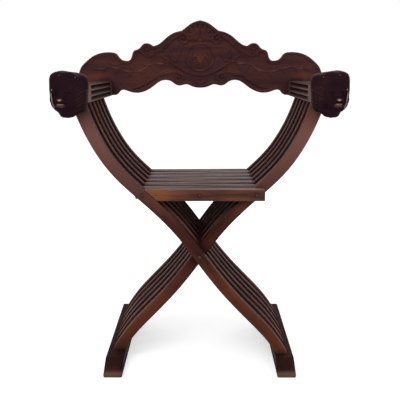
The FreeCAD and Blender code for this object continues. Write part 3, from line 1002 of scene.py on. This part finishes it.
upper_volute = [(0.0475, 0.8), (0.0545, 0.8035), (0.0595, 0.7965), (0.0545, 0.788), (0.0435, 0.7865),
                (0.0358, 0.795), (0.0385, 0.806), (0.049, 0.8115), (0.0655, 0.8075), (0.084, 0.7955),
                (0.103, 0.778), (0.122, 0.7615), (0.141, 0.752), (0.158, 0.751), (0.171, 0.7595),
                (0.1735, 0.772), (0.165, 0.7815), (0.1535, 0.78), (0.149, 0.7705), (0.1555, 0.765)]
lower_volute = [(0.0615, 0.688), (0.068, 0.688), (0.071, 0.6805), (0.0635, 0.6745), (0.053, 0.6775),
                (0.0495, 0.688), (0.0585, 0.698), (0.0745, 0.7025), (0.095, 0.701), (0.12, 0.6925),
                (0.149, 0.6765), (0.176, 0.6605), (0.2, 0.654)]
garland = [(0.0, 0.6925), (0.022, 0.6955), (0.045, 0.7045), (0.07, 0.7185), (0.091, 0.7305),
           (0.108, 0.7285), (0.1165, 0.7195)]
side_scroll = [(0.0985, 0.7345), (0.109, 0.7465), (0.1235, 0.7505), (0.137, 0.744), (0.1425, 0.733)]
stem = [(0.108, 0.7255), (0.127, 0.7275), (0.1475, 0.7226), (0.1624, 0.7137), (0.18, 0.705),
        (0.204, 0.703), (0.231, 0.7077), (0.249, 0.7137), (0.27, 0.7167), (0.2876, 0.711),
        (0.308, 0.7115), (0.322, 0.703)]
stem_leaves = [((0.122, 0.7265), (0.1125, 0.7105)), ((0.138, 0.7255), (0.139, 0.7085)),
               ((0.156, 0.7165), (0.172, 0.7265)), ((0.168, 0.7105), (0.172, 0.694)),
               ((0.191, 0.7035), (0.2065, 0.7165)), ((0.214, 0.704), (0.2255, 0.7205)),
               ((0.2, 0.7035), (0.2105, 0.6885)), ((0.236, 0.709), (0.2505, 0.6985)),
               ((0.254, 0.7145), (0.266, 0.729)), ((0.277, 0.7145), (0.287, 0.699)),
               ((0.296, 0.711), (0.31, 0.7225))]
garland_root = (0.0745, 0.7315)
garland_tips = [(0.0575, 0.7635), (0.0695, 0.771), (0.0825, 0.766), (0.0925, 0.7555)]
knobs = [(0.0875, 0.7465), (0.0485, 0.7985), (0.1585, 0.7685), (0.0615, 0.6875)]


def smooth_points(points, step):
    line = SmoothLine(np.array(points, dtype=float))
    count = max(2, round(line.at[-1] / step) + 1)
    return np.array([line.value(at) for at in np.linspace(0, line.at[-1], count)])


def crest_half_outline():
    stretches = []
    for shares in (crest_under_shares, crest_end_shares, crest_lobe_shares, crest_step_shares,
                   crest_rise_shares, crest_crown_shares):
        points = [(x * crest_half_width, crest_bottom + z * crest_height) for x, z in shares]
        stretches.append(smooth_points(points, outline_step)[:-1])
    return np.concatenate(stretches + [[(0.0, crest_bottom + crest_height)]])


def distances(points, line):
    # For each point, how far the line is, and its nearest spot as a share of the line's length
    away, spot = nearest(points, line)
    run = np.concatenate([[0.0], np.cumsum(np.linalg.norm(np.diff(line, axis=0), axis=1))])
    return away, np.interp(spot, np.arange(len(line)), run / run[-1])


class Relief:
    """Heights of carving over the points of a board's face."""

    def __init__(self, points):
        self.points = points
        self.height = np.zeros(len(points))
        self.ridge_highlight = np.zeros(len(points))

    def raised(self, line, height, widths, reeds=0, ridge_highlight=0.2):
        # A rounded ridge whose half width goes through the given values along the line, with grooves if
        # reeded. A painted highlight lies along its top.
        away, share = distances(self.points, np.array(line))
        half = np.interp(share, np.linspace(0, 1, len(widths)), widths)
        across = np.clip(away / half, 0, 1)
        swell = height * np.sqrt(1 - across ** 2)
        if reeds:
            swell *= 0.78 + 0.22 * np.cos(2 * math.pi * reeds * across)
        self.height = np.where(away < half, np.maximum(self.height, swell), self.height)
        patchy = 0.6 + 0.4 * np.sin(self.points[:, 0] * 150 + self.points[:, 1] * 90)
        self.ridge_highlight = np.maximum(self.ridge_highlight, ridge_highlight * patchy * fade(away, half * 0.72, half * 0.12))

    def drawn(self, points, height, widths, reeds=0, ridge_highlight=0.2):
        self.raised(smooth_points(points, 0.003), height, widths, reeds, ridge_highlight)

    def knob(self, place, height, half):
        self.raised([place, np.array(place) + (0.0005, 0.0)], height, [half])

    def cut(self, line, depth, half):
        away, share = distances(self.points, np.array(line))
        ends = np.clip(np.minimum(share, 1 - share) * 8, 0.25, 1)
        self.height -= depth * ends * fade(away, half, 0)

    def petal(self, root, tip, half, height, bend=0.0, ridge_highlight=0.1):
        # A leaf-shaped swelling with a vein down its middle
        root, tip = np.array(root), np.array(tip)
        side = np.array([-(tip - root)[1], (tip - root)[0]]) * bend
        line = smooth_points([root, (root + tip) / 2 + side, tip], 0.003)
        self.raised(line, height, [half * 0.45, half * 0.85, half, half * 0.9, half * 0.35], ridge_highlight=ridge_highlight)
        self.cut(line, height * 0.45, half * 0.3)


def arc_points(centre, radius, first, last, steps):
    angles = np.radians(np.linspace(first, last, steps))
    return np.array(centre) + radius * np.stack([np.cos(angles), np.sin(angles)], axis=1)


def fan_leaf(relief, root, angle, first, last, half, height, ridge_highlight=0.1):
    aim = np.array((math.sin(math.radians(angle)), math.cos(math.radians(angle))))
    relief.petal(root + aim * first, root + aim * last, half, height, ridge_highlight=ridge_highlight)


def carve_crest(relief):
    # Everything is drawn on the right half, in metres: across from the middle and up from the floor.
    # First the ring with its lily
    relief.raised(arc_points(ring, 0.0395, -90, 90, 40), 0.0036, [0.0028], ridge_highlight=0.36)
    relief.cut(arc_points(ring, 0.0335, -90, 90, 36), 0.001, 0.0012)
    relief.petal((0.0, 0.7315), (0.0, 0.763), 0.0068, 0.0045, ridge_highlight=0.32)
    relief.raised(smooth_points(lily_curl, 0.002), 0.0042, [0.0022, 0.0042, 0.0036, 0.0026], ridge_highlight=0.3)
    relief.petal((0.0, 0.73), (0.0, 0.7155), 0.0046, 0.004, ridge_highlight=0.3)
    relief.petal((0.003, 0.7295), (0.0115, 0.7215), 0.0032, 0.0036, ridge_highlight=0.25)
    relief.raised([(0.0, 0.7305), (0.0095, 0.7305)], 0.005, [0.0026, 0.0022])
    # The palmette above it
    for angle, length in ((0, 0.046), (21, 0.045), (42, 0.0425), (63, 0.0405), (84, 0.036)):
        fan_leaf(relief, fan, angle, 0.011, length, 0.0062, 0.0048, ridge_highlight=0.16)
    relief.knob(fan, 0.0052, 0.0085)
    # Volutes, garland, scrolls and the leafy stem out to the end
    relief.drawn(upper_volute, 0.0055, [0.003, 0.0045, 0.007, 0.0075, 0.0065, 0.0048, 0.003], reeds=1.5)
    relief.drawn(lower_volute, 0.0052, [0.003, 0.004, 0.0062, 0.0068, 0.0058, 0.0035, 0.0015], reeds=1.5)
    relief.drawn(garland, 0.0046, [0.0034, 0.0042, 0.0036, 0.002], reeds=1)
    for tip in garland_tips:
        relief.petal(garland_root, tip, 0.0052, 0.0032)
    relief.drawn(side_scroll, 0.0034, [0.0026, 0.0046, 0.0054, 0.004, 0.0018], reeds=1)
    relief.drawn(stem, 0.0024, [0.0036, 0.0034, 0.003, 0.003, 0.0026, 0.0012], ridge_highlight=0.5)
    for root, tip in stem_leaves:
        relief.petal(root, tip, 0.0042, 0.0023, bend=0.12)
    for angle in (-56, -28, 0, 28, 56):
        fan_leaf(relief, shell, angle, 0.003, 0.0165, 0.0034, 0.0042)
    for place in knobs:
        relief.knob(place, 0.0052, 0.0034)


def crest_board():
    # The sawn outline, filled and drawn out past the face, with its back arrises eased
    right = crest_half_outline()
    outline = np.concatenate([right, right[-2:0:-1] * (-1, 1)])
    board = bmesh.new()
    prism(board, [(x, crest_front - crest_thick, z) for x, z in outline], (0, crest_thick * 2, 0))
    rim = [edge for edge in board.edges if min(vert.co.y for vert in edge.verts) > crest_front]
    ease(board, rim, crest_round * 0.7, 2)
    return board


def crest_face_grid():
    # A block whose front is divided finely enough to carve
    block = bmesh.new()
    across = 2 * round(crest_half_width / crest_cell + 2)
    up = round(crest_height / crest_cell) + 4
    bmesh.ops.create_grid(block, x_segments=across, y_segments=up, size=0.5)
    bmesh.ops.scale(block, vec=(across * crest_cell, up * crest_cell, 1), verts=block.verts)
    bmesh.ops.rotate(block, matrix=Matrix.Rotation(math.pi / 2, 3, "X"), verts=block.verts)
    bmesh.ops.translate(block, vec=(0, crest_front, crest_bottom + crest_height / 2), verts=block.verts)
    rim = [edge for edge in block.edges if edge.is_boundary]
    grown = bmesh.ops.extrude_edge_only(block, edges=rim)
    rear = [item for item in grown["geom"] if isinstance(item, bmesh.types.BMVert)]
    bmesh.ops.translate(block, vec=(0, crest_thick * 1.5, 0), verts=rear)
    close_rim(block)
    return block


def make_crest():
    bm = combined(crest_face_grid(), crest_board(), "INTERSECT")
    bm = combined(bm, crest_joints(0.0), "UNION")
    wear_and_sheen, glowing = masks(bm, "wear_and_sheen", "glowing")
    face = [vert for vert in bm.verts if abs(vert.co.y - crest_front) < 1e-6]
    points = np.array([(abs(vert.co.x), vert.co.z) for vert in face])
    to_edge, _ = distances(points, crest_half_outline())
    relief = Relief(points)
    carve_crest(relief)
    # The ridges end level with the board's face, so that the right arm passes it as the chair folds
    open_ground = np.interp(points[:, 0], [0.18, 0.26], [ground_depth, ground_depth / 2])
    inside = fade(to_edge, border_width, border_width + border_ease)
    level = inside * np.minimum(relief.height * ridge_share - open_ground, face_proud)
    level -= border_groove * fade(np.abs(to_edge - border_width), groove_half, 0)
    fall = np.clip(crest_round - to_edge, 0, crest_round)
    level -= crest_round - np.sqrt(crest_round ** 2 - fall ** 2)
    # The ridge tops carry their painted highlight, inside the border
    for vert, height, ridge_highlight in zip(face, level, relief.ridge_highlight * inside):
        vert.co.y -= height
        vert[wear_and_sheen] = ridge_highlight
    # The finish has thinned to orange-brown above the arms and round the lower scrolls
    for vert in bm.verts:
        for x, z, wide, tall, share in glow_spots:
            near = ((abs(vert.co.x) - x) / wide) ** 2 + ((vert.co.z - z) / tall) ** 2
            vert[glowing] = max(vert[glowing], share * math.exp(-near))
    lay_grain(bm, lambda co: (co.x, co.z, co.y))
    piece("carved_crest_rail", bm, "crest", carved_walnut, "crest_rail", smooth=0.9)


carved_walnut = wood("carved_walnut", (72, 41, 42), (46, 26, 30), (96, 52, 38), (118, 80, 72), (20, 11, 13),
                     wear=0.8, corner_shade_level=0.55, gloss=0.04)
stained(carved_walnut, "glowing", (128, 68, 38))
stained(carved_walnut, "wear_and_sheen", (134, 92, 84))
make_crest()
